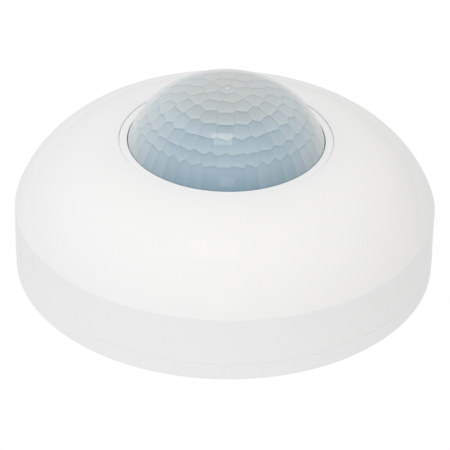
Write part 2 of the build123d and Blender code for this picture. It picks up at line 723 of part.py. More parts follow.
with BuildPart() as chassis:
    ring(PLATE_RADIUS, POCKET_INSIDE, PLATE_LOW, PLATE_HIGH)
    ring(POCKET_OUTSIDE, POCKET_INSIDE, PLATE_LOW, POCKET_TOP)
    ring(POCKET_OUTSIDE, 0, POCKET_CEILING, POCKET_TOP)
    ring(PLATE_RADIUS, PLATE_RADIUS - PLATE_WALL, PLATE_LOW, FLANGE_HIGH)
    ring(FLANGE_RADIUS, PLATE_RADIUS - PLATE_WALL, FLANGE_LOW, FLANGE_HIGH)
    for azimuth in HOOK_AZIMUTHS:
        start = azimuth - HOOK_HALF
        end = azimuth + HOOK_HALF
        sector(HOOK_LEG_OUTSIDE, HOOK_INSIDE, start, end, HOOK_LOW, PLATE_LOW)
        sector(HOOK_FOOT_OUTSIDE, HOOK_INSIDE, start, end, HOOK_LOW, HOOK_FOOT_HIGH)
    for azimuth in COVER_BOSSES:
        post(azimuth, COVER_SCREW_CIRCLE, COVER_BOSS_RADIUS, PLATE_LOW, FLANGE_HIGH)
    for azimuth in POSTS:
        post(azimuth, POST_CIRCLE, POST_RADIUS, PLATE_LOW, BOARD_LOW - SOLDER_GAP)
    for azimuth in COVER_BOSSES:
        hole = COVER_PILOT_RADIUS + CLEARANCE
        post(azimuth, COVER_SCREW_CIRCLE, hole, PLATE_LOW, FLANGE_HIGH, Mode.SUBTRACT)
    for azimuth in POSTS:
        post(azimuth, POST_CIRCLE, PILOT_RADIUS, POST_PILOT_LOW, BOARD_LOW, Mode.SUBTRACT)
    for azimuth in (TIME_AZIMUTH, LUX_AZIMUTH):
        post(azimuth, TRIMMER_CIRCLE, KNOB_HOLE_RADIUS, PLATE_LOW, PLATE_HIGH, Mode.SUBTRACT)
    for azimuth in POLE_AZIMUTHS:
        blade = azimuth - CONTACT_LAG
        margin = BLADE_THICKNESS / 2 + BLADE_SLOT_MARGIN
        sector(
            BLADE_CIRCLE + margin,
            BLADE_CIRCLE - margin,
            blade - BLADE_HALF - BLADE_SLOT_MARGIN * 2,
            blade + BLADE_HALF + BLADE_SLOT_MARGIN * 2,
            POCKET_CEILING,
            POCKET_TOP,
            Mode.SUBTRACT,
        )

with BuildPart() as chassis_screws:
    reach = COVER_PILOT_TOP - PLATE_LOW - COVER_SCREW_END_GAP
    cross_screws(
        COVER_SCREW_CIRCLE,
        COVER_SCREW_START,
        PLATE_LOW,
        1,
        COVER_THREAD_RADIUS,
        reach,
        COVER_HEAD_RADIUS,
        COVER_HEAD_HEIGHT,
    )

# ---- circuit board and what stands on it ---------------------------------------------------------

PIN_AZIMUTHS = [PIN_START + PIN_STEP * index for index in range(PINS)]

with BuildPart() as circuit_board:
    ring(BOARD_RADIUS, 0, BOARD_LOW, BOARD_HIGH)
    for azimuth in POSTS:
        post(azimuth, POST_CIRCLE, BOARD_HOLE_RADIUS, BOARD_LOW, BOARD_HIGH, Mode.SUBTRACT)
    for azimuth in PIN_AZIMUTHS:
        post(azimuth, PIN_CIRCLE, PIN_HOLE_RADIUS, BOARD_LOW, BOARD_HIGH, Mode.SUBTRACT)

with BuildPart() as board_screws:
    cross_screws(
        POST_CIRCLE,
        POST_START,
        BOARD_HIGH,
        -1,
        THREAD_RADIUS,
        BOARD_SCREW_LENGTH,
        SCREW_HEAD_RADIUS,
        SCREW_HEAD_HEIGHT,
    )

with BuildPart() as contact_blades:
    for azimuth in POLE_AZIMUTHS:
        blade = azimuth - CONTACT_LAG
        inside = BLADE_CIRCLE - BLADE_THICKNESS / 2
        outside = BLADE_CIRCLE + BLADE_THICKNESS / 2
        top = BOARD_LOW - SOLDER_GAP
        sector(outside, inside, blade - BLADE_HALF, blade + BLADE_HALF, BLADE_LOW, top)
        foot_in = BLADE_CIRCLE - BLADE_FOOT_SIDE
        foot_out = BLADE_CIRCLE + BLADE_FOOT_SIDE
        sector(foot_out, foot_in, blade - BLADE_HALF, blade + BLADE_HALF, top - BLADE_FOOT, top)

with BuildPart() as sensor_holder:
    seat = BOARD_HIGH + SOLDER_GAP
    ring(HOLDER_RADIUS, 0, seat, HOLDER_RIM_TOP)
    ring(HOLDER_SEAT, 0, HOLDER_TOP, HOLDER_RIM_TOP, Mode.SUBTRACT)
    notch_end = HOLDER_SEAT + NOTCH_DEPTH
    notch_side = NOTCH_WIDTH / 2
    bar(PIN_START, 0, notch_end, -notch_side, notch_side, HOLDER_TOP, HOLDER_RIM_TOP, Mode.SUBTRACT)
    for azimuth in PIN_AZIMUTHS:
        post(azimuth, PIN_CIRCLE, PIN_HOLE_RADIUS, seat, HOLDER_TOP, Mode.SUBTRACT)

HEADER_LOW = HOLDER_TOP + SOLDER_GAP
HEADER_HIGH = HEADER_LOW + HEADER_THICKNESS

with BuildPart() as pir_header:
    ring(HEADER_RADIUS, 0, HEADER_LOW, HEADER_HIGH)
    tab_end = HEADER_RADIUS + HEADER_TAB
    bar(PIN_START, 0, tab_end, -HEADER_TAB_WIDTH / 2, HEADER_TAB_WIDTH / 2, HEADER_LOW, HEADER_HIGH)
    for azimuth in PIN_AZIMUTHS:
        post(azimuth, PIN_CIRCLE, PIN_HOLE_RADIUS, HEADER_LOW, HEADER_HIGH, Mode.SUBTRACT)

with BuildPart() as pir_can:
    ring(CAN_RADIUS, 0, HEADER_HIGH + SOLDER_GAP, CAN_TOP)
    fillet(pir_can.edges().group_by(Axis.Z)[-1], radius=CAN_WALL)
    ring(CAN_RADIUS - CAN_WALL, 0, HEADER_HIGH + SOLDER_GAP, CAN_TOP - CAN_WALL, Mode.SUBTRACT)
    with BuildSketch(Plane.XY.offset(CAN_TOP - CUT_MARGIN)) as window_opening:
        Rectangle(WINDOW_LENGTH, WINDOW_WIDTH)
    extrude(window_opening.sketch, amount=2 * CUT_MARGIN, mode=Mode.SUBTRACT)

with BuildPart() as pir_window:
    with BuildSketch(Plane.XY.offset(CAN_TOP - CAN_WALL - SOLDER_GAP - WINDOW_THICKNESS)) as window_plate:
        Rectangle(WINDOW_LENGTH + WINDOW_OVERLAP, WINDOW_WIDTH + WINDOW_OVERLAP)
    extrude(amount=WINDOW_THICKNESS)

with BuildPart() as pir_pins:
    for azimuth in PIN_AZIMUTHS:
        post(azimuth, PIN_CIRCLE, PIN_RADIUS, PIN_LOW, HEADER_HIGH)

with BuildPart() as status_led:
    seat = BOARD_HIGH + SOLDER_GAP
    with Locations((LED_PLACE[0], LED_PLACE[1], seat)):
        Cylinder(LED_SHOULDER_RADIUS, LED_SHOULDER, align=(Align.CENTER, Align.CENTER, Align.MIN))
        Cylinder(LED_RADIUS, LED_HEIGHT, align=(Align.CENTER, Align.CENTER, Align.MIN))
    fillet(status_led.edges().group_by(Axis.Z)[-1], radius=LED_RADIUS - SOLDER_GAP)

with BuildPart() as light_sensor:
    seat = BOARD_HIGH + SOLDER_GAP
    with BuildSketch(Plane.XY.offset(seat)) as cell_outline:
        with Locations(CELL_PLACE):
            Circle(CELL_RADIUS)
            Rectangle(CELL_RADIUS * 2, CELL_FLAT * 2, mode=Mode.INTERSECT)
    extrude(amount=CELL_HEIGHT)

with BuildPart() as microchip:
    chip_base = BOARD_HIGH + CHIP_LOW
    with BuildSketch(Plane.XY.offset(chip_base)) as chip_body:
        with Locations(CHIP_PLACE):
            Rectangle(CHIP_LENGTH, CHIP_WIDTH)
    extrude(amount=CHIP_HEIGHT)
    with BuildSketch(Plane.XY.offset(BOARD_HIGH + SOLDER_GAP)) as chip_feet:
        with Locations(CHIP_PLACE):
            with GridLocations(CHIP_LEG_PITCH, 0, CHIP_LEGS, 1):
                Rectangle(CHIP_LEG_WIDTH, CHIP_WIDTH + 2 * CHIP_LEG_REACH)
    extrude(amount=CHIP_LEG_THICKNESS)

with BuildPart() as chip_parts:
    with BuildSketch(Plane.XY.offset(BOARD_HIGH + SOLDER_GAP)) as chip_part_rows:
        with GridLocations(2 * CHIP_PART_COLUMN, CHIP_PART_PITCH, 2, CHIP_PART_ROWS):
            Rectangle(CHIP_PART_LENGTH, CHIP_PART_WIDTH)
    extrude(amount=CHIP_PART_HEIGHT)

# ---- parts that hang from the board towards the base ---------------------------------------------

HANG = BOARD_LOW - SOLDER_GAP


def hanging_block(azimuth, circle, length, width, height):
    """A block whose length runs tangentially to the board."""
    bar(azimuth, circle - width / 2, circle + width / 2, -length / 2, length / 2, HANG - height, HANG)


def hanging_can(azimuth, radius, height):
    """An electrolytic can with its beaded foot at the board and a cross-shaped vent at its far end."""
    plane = turned(azimuth, HANG - height)
    with BuildSketch(plane) as body:
        with Locations((ANNULUS, 0)):
            Circle(radius)
    extrude(body.sketch, amount=height)
    with BuildSketch(plane.offset(height - CAP_GROOVE_HEIGHT)) as groove:
        with Locations((ANNULUS, 0)):
            Circle(radius + CUT_MARGIN)
            Circle(radius - CAP_GROOVE_DEPTH, mode=Mode.SUBTRACT)
    extrude(groove.sketch, amount=CAP_GROOVE_WIDTH, mode=Mode.SUBTRACT)
    with BuildSketch(plane) as vent:
        with Locations((ANNULUS, 0)):
            Rectangle(radius * CAP_VENT_SHARE, CAP_VENT_WIDTH)
            Rectangle(CAP_VENT_WIDTH, radius * CAP_VENT_SHARE)
    extrude(vent.sketch, amount=CAP_VENT_DEPTH, mode=Mode.SUBTRACT)


def lying_body(azimuth, circle, radius, length, lift):
    """A round axial part lying tangentially under the board on its two bent legs."""
    centre = HANG - lift - radius
    along = turned(azimuth, centre)
    lying = Plane(origin=along.origin, x_dir=along.x_dir, z_dir=along.y_dir)
    with BuildSketch(lying.offset(-length / 2)) as body:
        with Locations((circle, 0)):
            Circle(radius)
    extrude(body.sketch, amount=length)
    reach = length / 2 + AXIAL_LEAD
    with BuildSketch(lying.offset(-reach)) as lead:
        with Locations((circle, 0)):
            Circle(LEG_RADIUS)
    extrude(lead.sketch, amount=2 * reach)
    for side in (-reach, reach):
        with BuildSketch(turned(azimuth, centre)) as leg:
            with Locations((circle, side)):
                Circle(LEG_RADIUS)
        extrude(leg.sketch, amount=HANG - centre)


with BuildPart() as relay:
    hanging_block(RELAY_AZIMUTH, ANNULUS, RELAY_LENGTH, RELAY_WIDTH, RELAY_HEIGHT)
    fillet(relay.edges(), radius=RELAY_EDGE)

with BuildPart() as mains_capacitor:
    hanging_block(MAINS_AZIMUTH, ANNULUS, MAINS_LENGTH, MAINS_WIDTH, MAINS_HEIGHT)
    fillet(mains_capacitor.edges(), radius=MAINS_EDGE)

with BuildPart() as electrolytic_capacitors:
    hanging_can(LARGE_CAP_AZIMUTH, LARGE_CAP_RADIUS, LARGE_CAP_HEIGHT)
    hanging_can(SMALL_CAP_AZIMUTH, SMALL_CAP_RADIUS, SMALL_CAP_HEIGHT)

with BuildPart() as varistor:
    disc_centre = HANG - VARISTOR_LEG - VARISTOR_RADIUS
    facing = turned(VARISTOR_AZIMUTH, disc_centre)
    upright = Plane(origin=facing.origin, x_dir=facing.y_dir, z_dir=facing.x_dir)
    with BuildSketch(upright.offset(ANNULUS - VARISTOR_THICKNESS / 2)) as disc:
        Circle(VARISTOR_RADIUS)
    extrude(amount=VARISTOR_THICKNESS)
    fillet(varistor.edges().filter_by(GeomType.CIRCLE), radius=VARISTOR_EDGE)
    for side in (-VARISTOR_LEG_PITCH / 2, VARISTOR_LEG_PITCH / 2):
        with BuildSketch(turned(VARISTOR_AZIMUTH, disc_centre)) as varistor_leg:
            with Locations((ANNULUS, side)):
                Circle(LEG_RADIUS)
        extrude(varistor_leg.sketch, amount=HANG - disc_centre)

with BuildPart() as power_resistor:
    lying_body(POWER_AZIMUTH, ANNULUS, POWER_RADIUS, POWER_LENGTH, AXIAL_LIFT)

with BuildPart() as fuse_resistor:
    lying_body(FUSE_AZIMUTH, ANNULUS, FUSE_RADIUS, FUSE_LENGTH, AXIAL_LIFT)

with BuildPart() as diodes:
    for index in range(DIODES):
        along = turned(DIODE_AZIMUTH + DIODE_STEP * index, HANG - AXIAL_LIFT - DIODE_RADIUS)
        outwards = Plane(origin=along.origin, x_dir=along.y_dir, z_dir=along.x_dir)
        with BuildSketch(outwards.offset(ANNULUS - DIODE_LENGTH / 2)) as diode_body:
            Circle(DIODE_RADIUS)
        extrude(diode_body.sketch, amount=DIODE_LENGTH)
        reach = DIODE_LENGTH / 2 + DIODE_LEAD
        with BuildSketch(outwards.offset(ANNULUS - reach)) as diode_lead:
            Circle(LEG_RADIUS)
        extrude(diode_lead.sketch, amount=2 * reach)
        for side in (ANNULUS - reach, ANNULUS + reach):
            with BuildSketch(along) as diode_leg:
                with Locations((side, 0)):
                    Circle(LEG_RADIUS)
            extrude(diode_leg.sketch, amount=AXIAL_LIFT + DIODE_RADIUS)

with BuildPart() as choke:
    choke_low = HANG - CHOKE_HEIGHT
    post(CHOKE_AZIMUTH, CHOKE_CIRCLE, CHOKE_RADIUS, choke_low, choke_low + CHOKE_FLANGE)
    post(CHOKE_AZIMUTH, CHOKE_CIRCLE, CHOKE_NECK, choke_low, HANG)
    post(CHOKE_AZIMUTH, CHOKE_CIRCLE, CHOKE_RADIUS, HANG - CHOKE_FLANGE, HANG)


def trimmer_body(azimuth):
    """A square trimmer housing with the bore its spindle turns in."""
    low = HANG - TRIMMER_HEIGHT
    half = TRIMMER_SIDE / 2
    bar(azimuth, TRIMMER_CIRCLE - half, TRIMMER_CIRCLE + half, -half, half, low, HANG)
    post(azimuth, TRIMMER_CIRCLE, TRIMMER_BORE, low, low + TRIMMER_BORE_DEPTH, Mode.SUBTRACT)


def setting_knob(azimuth):
    """A slotted knob flush with the back of the head, on a spindle that reaches up into its trimmer."""
    end = HANG - TRIMMER_HEIGHT + TRIMMER_BORE_DEPTH - SPINDLE_END_GAP
    post(azimuth, TRIMMER_CIRCLE, SPINDLE_RADIUS, KNOB_HIGH, end)
    post(azimuth, TRIMMER_CIRCLE, KNOB_RADIUS, KNOB_LOW, KNOB_HIGH)
    half_length = KNOB_SLOT_LENGTH / 2
    half_width = KNOB_SLOT_WIDTH / 2
    near = TRIMMER_CIRCLE - half_length
    far = TRIMMER_CIRCLE + half_length
    bar(azimuth, near, far, -half_width, half_width, KNOB_LOW, KNOB_LOW + KNOB_SLOT_DEPTH, Mode.SUBTRACT)
    # A wider end on the outer side of the slot shows which way the knob points
    with BuildSketch(turned(azimuth, KNOB_LOW)) as arrow:
        with Locations((far - KNOB_ARROW, 0)):
            Triangle(a=2 * KNOB_ARROW, b=2 * KNOB_ARROW, c=2 * KNOB_ARROW, rotation=-90)
    extrude(arrow.sketch, amount=KNOB_SLOT_DEPTH, mode=Mode.SUBTRACT)


with BuildPart() as time_trimmer:
    trimmer_body(TIME_AZIMUTH)
with BuildPart() as lux_trimmer:
    trimmer_body(LUX_AZIMUTH)
with BuildPart() as time_knob:
    setting_knob(TIME_AZIMUTH)
with BuildPart() as lux_knob:
    setting_knob(LUX_AZIMUTH)

# ---- export --------------------------------------------------------------------------------------

PARTS = {
    "mounting_base": mounting_base,
    "cable_grommet": cable_grommet,
    "terminal_block": terminal_block,
    "terminal_contacts": terminal_contacts,
    "live_screw": live_screw,
    "neutral_screw": neutral_screw,
    "load_screw": load_screw,
    "top_cover": top_cover,
    "fresnel_lens": fresnel_lens,
    "lens_bezel": lens_bezel,
    "lens_retainer": lens_retainer,
    "retainer_screws": retainer_screws,
    "chassis": chassis,
    "chassis_screws": chassis_screws,
    "circuit_board": circuit_board,
    "board_screws": board_screws,
    "contact_blades": contact_blades,
    "sensor_holder": sensor_holder,
    "pir_header": pir_header,
    "pir_can": pir_can,
    "pir_window": pir_window,
    "pir_pins": pir_pins,
    "status_led": status_led,
    "light_sensor": light_sensor,
    "microchip": microchip,
    "chip_parts": chip_parts,
    "relay": relay,
    "mains_capacitor": mains_capacitor,
    "electrolytic_capacitors": electrolytic_capacitors,
    "varistor": varistor,
    "power_resistor": power_resistor,
    "fuse_resistor": fuse_resistor,
    "diodes": diodes,
    "choke": choke,
    "time_trimmer": time_trimmer,
    "lux_trimmer": lux_trimmer,
    "time_knob": time_knob,
    "lux_knob": lux_knob,
}

for name, piece in PARTS.items():
    piece.part.label = name
    export_step(piece.part, f"parts/{name}.step")
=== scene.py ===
"""Ceiling motion sensor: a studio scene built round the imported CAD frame.

Everything is in metres, with +Z from the ceiling face to the lens and the front along -Y.
"""

import json
import math

import bpy
import numpy as np
from mathutils import Matrix, Vector


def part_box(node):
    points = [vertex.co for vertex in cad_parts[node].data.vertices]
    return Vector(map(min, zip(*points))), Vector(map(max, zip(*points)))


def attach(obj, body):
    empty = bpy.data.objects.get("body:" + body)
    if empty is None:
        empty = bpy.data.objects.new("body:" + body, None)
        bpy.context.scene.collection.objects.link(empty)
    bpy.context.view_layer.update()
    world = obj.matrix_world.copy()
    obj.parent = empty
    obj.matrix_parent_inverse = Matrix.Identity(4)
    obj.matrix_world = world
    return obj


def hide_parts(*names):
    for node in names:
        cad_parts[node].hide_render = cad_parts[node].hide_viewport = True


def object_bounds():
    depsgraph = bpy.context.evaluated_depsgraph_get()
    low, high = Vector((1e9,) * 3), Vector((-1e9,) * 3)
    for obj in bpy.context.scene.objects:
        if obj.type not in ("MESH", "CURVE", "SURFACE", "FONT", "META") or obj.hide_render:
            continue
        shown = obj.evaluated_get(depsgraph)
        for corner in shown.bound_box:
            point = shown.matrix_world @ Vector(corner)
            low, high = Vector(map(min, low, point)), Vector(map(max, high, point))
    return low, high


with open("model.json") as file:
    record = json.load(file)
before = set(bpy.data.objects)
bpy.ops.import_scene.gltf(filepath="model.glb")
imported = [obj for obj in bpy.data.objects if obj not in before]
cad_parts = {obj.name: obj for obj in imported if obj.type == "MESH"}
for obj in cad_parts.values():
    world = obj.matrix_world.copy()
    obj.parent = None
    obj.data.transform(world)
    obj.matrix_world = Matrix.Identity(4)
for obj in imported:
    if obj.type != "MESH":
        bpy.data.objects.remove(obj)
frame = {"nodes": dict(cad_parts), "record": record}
cad_low, cad_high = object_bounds()
MM = 0.001

# ---- node helpers -------------------------------------------------------------------------------


class Nodes:
    """The node tree of a material or a world, with short calls to add and link nodes."""

    def __init__(self, owner, output_kind="ShaderNodeOutputMaterial"):
        self.owner = owner
        owner.use_nodes = True
        self.tree = owner.node_tree
        self.tree.nodes.clear()
        self.output = self.add(output_kind)
        self.place = self.add("ShaderNodeTexCoord")

    def add(self, kind, **values):
        node = self.tree.nodes.new(kind)
        for key, value in values.items():
            if hasattr(node, key):
                setattr(node, key, value)
            else:
                node.inputs[key.replace("_", " ")].default_value = value
        return node

    def link(self, source, target):
        self.tree.links.new(source, target)

    def put(self, value, socket):
        """Sets a socket to a number or a colour, or links it to another socket."""
        if isinstance(value, (int, float)):
            socket.default_value = value
        elif isinstance(value, tuple):
            socket.default_value = (*value, 1.0)
        else:
            self.link(value, socket)

    def math(self, operation, *values):
        """A maths node on numbers and sockets."""
        node = self.add("ShaderNodeMath", operation=operation)
        for value, socket in zip(values, node.inputs):
            self.put(value, socket)
        return node.outputs["Value"]

    def times(self, first, second):
        return self.math("MULTIPLY", first, second)

    def noise(self, size_mm, detail=3.0):
        """Noise whose features measure about size_mm across."""
        node = self.add("ShaderNodeTexNoise", Scale=1 / (size_mm * MM), Detail=detail)
        self.link(self.place.outputs["Object"], node.inputs["Vector"])
        return node.outputs["Fac"]

    def spread(self, source, low, high, start=0.3, end=0.7):
        """Maps the source's values from start to end onto low to high."""
        node = self.add("ShaderNodeMapRange", From_Min=start, From_Max=end, To_Min=low, To_Max=high)
        self.link(source, node.inputs["Value"])
        return node.outputs["Result"]

    def ramp(self, share, first, *middle, last):
        """A colour ramp through stops, each a place from 0 to 1 and a colour."""
        node = self.add("ShaderNodeValToRGB")
        elements = node.color_ramp.elements
        for element, (place, colour) in zip(elements, (first, last)):
            element.position = place
            element.color = (*colour, 1.0)
        for place, colour in middle:
            elements.new(place).color = (*colour, 1.0)
        self.link(share, node.inputs["Fac"])
        return node.outputs["Color"]

    def mix(self, share, first, second, blend="MIX"):
        """Colour mix; first and second are colours or sockets."""
        node = self.add("ShaderNodeMix", data_type="RGBA", blend_type=blend)
        for value, socket in ((share, node.inputs[0]), (first, node.inputs[6]), (second, node.inputs[7])):
            self.put(value, socket)
        return node.outputs[2]

    def split(self, kind, source):
        """The separate channels of a vector or a colour."""
        node = self.add(kind)
        self.link(source, node.inputs[0])
        return node.outputs

    def bump(self, height, distance_mm, strength=1.0):
        node = self.add("ShaderNodeBump", Strength=strength, Distance=distance_mm * MM)
        self.link(height, node.inputs["Height"])
        return node.outputs["Normal"]

    def principled(self, **values):
        node = self.add("ShaderNodeBsdfPrincipled")
        for key, value in values.items():
            self.put(value, node.inputs[key.replace("_", " ")])
        return node.outputs["BSDF"]

    def finish(self, shader):
        self.link(shader, self.output.inputs["Surface"])
        return self.owner


# ---- moulded, metal and coated parts ------------------------------------------------------------

MOTTLE_MM = 14.0
PATCH_MM = 4.0
ROUGHNESS_SPREAD = 0.15
COAT_ROUGHNESS = 0.08


def plastic(
    name, colour, roughness, grain_mm=0.35, bump_mm=0.004, mottle=0.03, coat=0.0, metallic=0.0, shine=0.5
):
    """Moulded material: faint mottling, fine surface grain, roughness that varies over the part."""
    n = Nodes(bpy.data.materials.new(name))
    broad = n.noise(MOTTLE_MM, detail=2.0)
    fine = n.noise(grain_mm, detail=2.0)
    darker = tuple(channel * (1 - mottle) for channel in colour)
    smoother, rougher = roughness * (1 - ROUGHNESS_SPREAD), roughness * (1 + ROUGHNESS_SPREAD)
    shader = n.principled(
        Base_Color=n.mix(n.spread(broad, low=0.0, high=1.0), colour, darker),
        Roughness=n.spread(n.noise(PATCH_MM, detail=4.0), smoother, rougher),
        Metallic=metallic,
        Specular_IOR_Level=shine,
        Coat_Weight=coat,
        Coat_Roughness=COAT_ROUGHNESS,
        Normal=n.bump(fine, bump_mm),
    )
    return n.finish(shader)


FINISH = {
    "white_shell": dict(
        colour=(0.90, 0.90, 0.90), roughness=0.035, grain_mm=0.6, bump_mm=0.0003, mottle=0.005, shine=0.1
    ),
    "white_bezel": dict(
        colour=(0.94, 0.94, 0.94), roughness=0.12, grain_mm=0.6, bump_mm=0.0006, mottle=0.005
    ),
    "inner_plastic": dict(colour=(0.80, 0.80, 0.78), roughness=0.5),
    "grey_rubber": dict(colour=(0.30, 0.31, 0.32), roughness=0.7, mottle=0.1, bump_mm=0.01),
    "terminal_plastic": dict(colour=(0.72, 0.72, 0.68), roughness=0.45),
    "contact_brass": dict(colour=(0.72, 0.50, 0.20), roughness=0.3, metallic=1.0, mottle=0.15),
    "plated_steel": dict(colour=(0.62, 0.61, 0.58), roughness=0.32, metallic=1.0, mottle=0.12),
    "board_laminate": dict(colour=(0.02, 0.16, 0.06), roughness=0.35, coat=0.4, mottle=0.2, bump_mm=0.01),
    "can_steel": dict(colour=(0.66, 0.66, 0.65), roughness=0.22, metallic=1.0, mottle=0.08),
    "filter_window": dict(colour=(0.02, 0.02, 0.03), roughness=0.12, coat=0.5),
    "red_led": dict(colour=(0.55, 0.02, 0.015), roughness=0.15, coat=0.6),
    "cell_ceramic": dict(colour=(0.62, 0.28, 0.12), roughness=0.25, coat=0.6, mottle=0.2),
    "black_epoxy": dict(colour=(0.015, 0.015, 0.017), roughness=0.5, mottle=0.3, bump_mm=0.01),
    "chip_ceramic": dict(colour=(0.30, 0.20, 0.12), roughness=0.4, mottle=0.3),
    "relay_plastic": dict(colour=(0.02, 0.02, 0.024), roughness=0.3, mottle=0.3),
    "capacitor_box": dict(colour=(0.70, 0.42, 0.03), roughness=0.28, mottle=0.1),
    "capacitor_sleeve": dict(colour=(0.02, 0.03, 0.08), roughness=0.25, mottle=0.2, coat=0.3),
    "varistor_epoxy": dict(colour=(0.02, 0.07, 0.38), roughness=0.3, mottle=0.2, bump_mm=0.02),
    "resistor_coat": dict(colour=(0.16, 0.34, 0.42), roughness=0.45, mottle=0.2),
    "fuse_coat": dict(colour=(0.05, 0.20, 0.07), roughness=0.45, mottle=0.2),
    "ferrite": dict(colour=(0.03, 0.028, 0.028), roughness=0.6, mottle=0.3, bump_mm=0.02),
    "trimmer_plastic": dict(colour=(0.02, 0.06, 0.28), roughness=0.35, mottle=0.1),
    "knob_plastic": dict(colour=(0.75, 0.18, 0.02), roughness=0.4, mottle=0.1),
}
MATERIALS = {name: plastic(name, **values) for name, values in FINISH.items()}
# Light plastic nub at the lens's pole; its pale colour also stands in for the glint on it, a painted highlight
NUB_WITH_PAINTED_GLINT = plastic("lens_nub_painted_glint", (0.80, 0.82, 0.82), 0.2, mottle=0.05, bump_mm=0.001)

# ---- the milky lens material --------------------------------------------------------------------

# The lens's colour at places from its foot, 0, to its pole, 1: milky plastic with painted shade, darker
# towards the foot where the unlit inside shows through
SHADED_MILK_AT_FOOT = (0.0, (0.198, 0.325, 0.400))
SHADED_MILK_LOW = (0.30, (0.325, 0.447, 0.525))
SHADED_MILK_HIGH = (0.75, (0.365, 0.482, 0.550))
SHADED_MILK_AT_POLE = (1.0, (0.370, 0.405, 0.405))
# Painted reflection: the pale colour the lens takes on where it is seen edge-on
EDGE_ON_REFLECTION_COLOUR = (0.76, 0.78, 0.77)
# Painted shade under each facet's upper border
PAINTED_SHADE_COLOUR = (0.19, 0.31, 0.37)
# Painted highlight towards each facet's lower edge
PAINTED_HIGHLIGHT_COLOUR = (0.80, 0.82, 0.80)
JOINT_COLOUR = (0.22, 0.34, 0.41)
TONE_COLOUR = (0.66, 0.69, 0.68)
CLOUD_COLOUR = (0.66, 0.70, 0.71)
CLOUD_MM = 0.9
GLOSS_PATCH_MM = 6.0
GLOSS_WAVE_MM = 3.0
# The painted light step that leaves the colour as it is: less paints shade and more paints a highlight
NEUTRAL = 0.5


def milky_painted_facets():
    """Bluish milky plastic under a smooth, glossy outer face; the facets that show through carry painted shade
    and highlight.
    """
    n = Nodes(bpy.data.materials.new("milky_painted_facets"))
    facet = n.add("ShaderNodeAttribute", attribute_name="facet")
    step, joint, height = n.split("ShaderNodeSeparateColor", facet.outputs["Color"])
    # Milky colour with painted shade, darker towards the lens's foot
    shaded_milk = n.ramp(height, SHADED_MILK_AT_FOOT, SHADED_MILK_LOW, SHADED_MILK_HIGH, last=SHADED_MILK_AT_POLE)
    facing = n.add("ShaderNodeLayerWeight", Blend=0.5).outputs["Facing"]
    # Painted reflection of the bright surroundings, growing where the lens is seen edge-on
    edge_on_reflection = n.mix(n.spread(facing, low=0.0, high=0.92, start=0.14, end=0.86), shaded_milk, EDGE_ON_REFLECTION_COLOUR)
    # The painted shade and highlight on the facets, and the joints, are strongest in the upper rows and weaker
    # where the lens is seen edge-on
    upper = n.spread(height, low=0.80, high=1.25, start=0.30, end=0.85)
    painted_light_strength = n.times(upper, n.spread(facing, low=1.0, high=0.55, start=0.35, end=0.80))
    side_upper = n.spread(height, low=0.07, high=0.17, start=0.30, end=0.85)
    side_relief = n.times(side_upper, n.spread(facing, low=1.0, high=0.45, start=0.35, end=0.80))
    # Painted shade at each facet's upper border and a painted highlight towards its lower edge
    painted_shade_share = n.times(n.spread(step, low=0.68, high=0.0, start=0.0, end=NEUTRAL), painted_light_strength)
    painted_highlight_share = n.times(n.spread(step, low=0.0, high=0.36, start=NEUTRAL, end=1.0), painted_light_strength)
    with_painted_shade = n.mix(painted_shade_share, edge_on_reflection, PAINTED_SHADE_COLOUR)
    with_painted_highlight = n.mix(painted_highlight_share, with_painted_shade, PAINTED_HIGHLIGHT_COLOUR)
    seam = n.mix(n.times(joint, side_relief), with_painted_highlight, JOINT_COLOUR)
    tone = n.add("ShaderNodeAttribute", attribute_name="cell_tone").outputs["Fac"]
    toned = n.mix(n.spread(tone, low=0.0, high=0.10, start=0.0, end=1.0), seam, TONE_COLOUR)
    shader = n.principled(
        Base_Color=n.mix(n.spread(n.noise(CLOUD_MM), low=0.0, high=0.06), toned, CLOUD_COLOUR),
        Roughness=0.6,
        Specular_IOR_Level=0.0,
        Coat_Weight=1.0,
        Coat_Roughness=n.spread(n.noise(GLOSS_PATCH_MM), low=0.010, high=0.018),
        Coat_IOR=1.45,
        Normal=n.bump(step, distance_mm=0.10, strength=0.5),
        Coat_Normal=n.bump(n.noise(GLOSS_WAVE_MM, detail=2.0), distance_mm=0.0003),
    )
    return n.finish(shader)


MATERIALS["milky_lens"] = milky_painted_facets()

for part in frame["record"]["subparts"]:
    mesh = frame["nodes"][part["node"]].data
    mesh.materials.clear()
    mesh.materials.append(MATERIALS[part["material_slot"]])
    mesh.polygons.foreach_set("material_index", [0] * len(mesh.polygons))

# ---- where the eye is ---------------------------------------------------------------------------

CAMERA_ELEVATION = 34.10
CAMERA_DISTANCE = 0.5986
CAMERA_ROLL = 1.17
CAMERA_AIM = Vector((0.00012, 0, 0.00971))
CAMERA_CLIP = 0.01
LENS_MM = 172.0
SENSOR_MM = 36.0
RISE = math.radians(CAMERA_ELEVATION)
EYE = Vector((0, -CAMERA_DISTANCE * math.cos(RISE), CAMERA_DISTANCE * math.sin(RISE)))
PICTURE_UP = np.array([0.0, math.sin(RISE), math.cos(RISE)])

# ---- the lens: smooth outside painted with the facets' shade and highlight, facets moulded on the inside ---

lens_low, lens_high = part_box("fresnel_lens")
FLANGE_RADIUS = lens_high.x
FLANGE_THICKNESS = 1.0 * MM
FOOT_RADIUS = 26.47 * MM
FOOT_HEIGHT = 37.5 * MM
SEMI_RADIUS = 30.0 * MM
POWER = 2.71
CENTRE_HEIGHT = 10.92 * MM
SEMI_HEIGHT = 42.1 * MM
POLE = CENTRE_HEIGHT + SEMI_HEIGHT
WALL = 0.9 * MM
NUB_RADIUS = 0.45 * MM
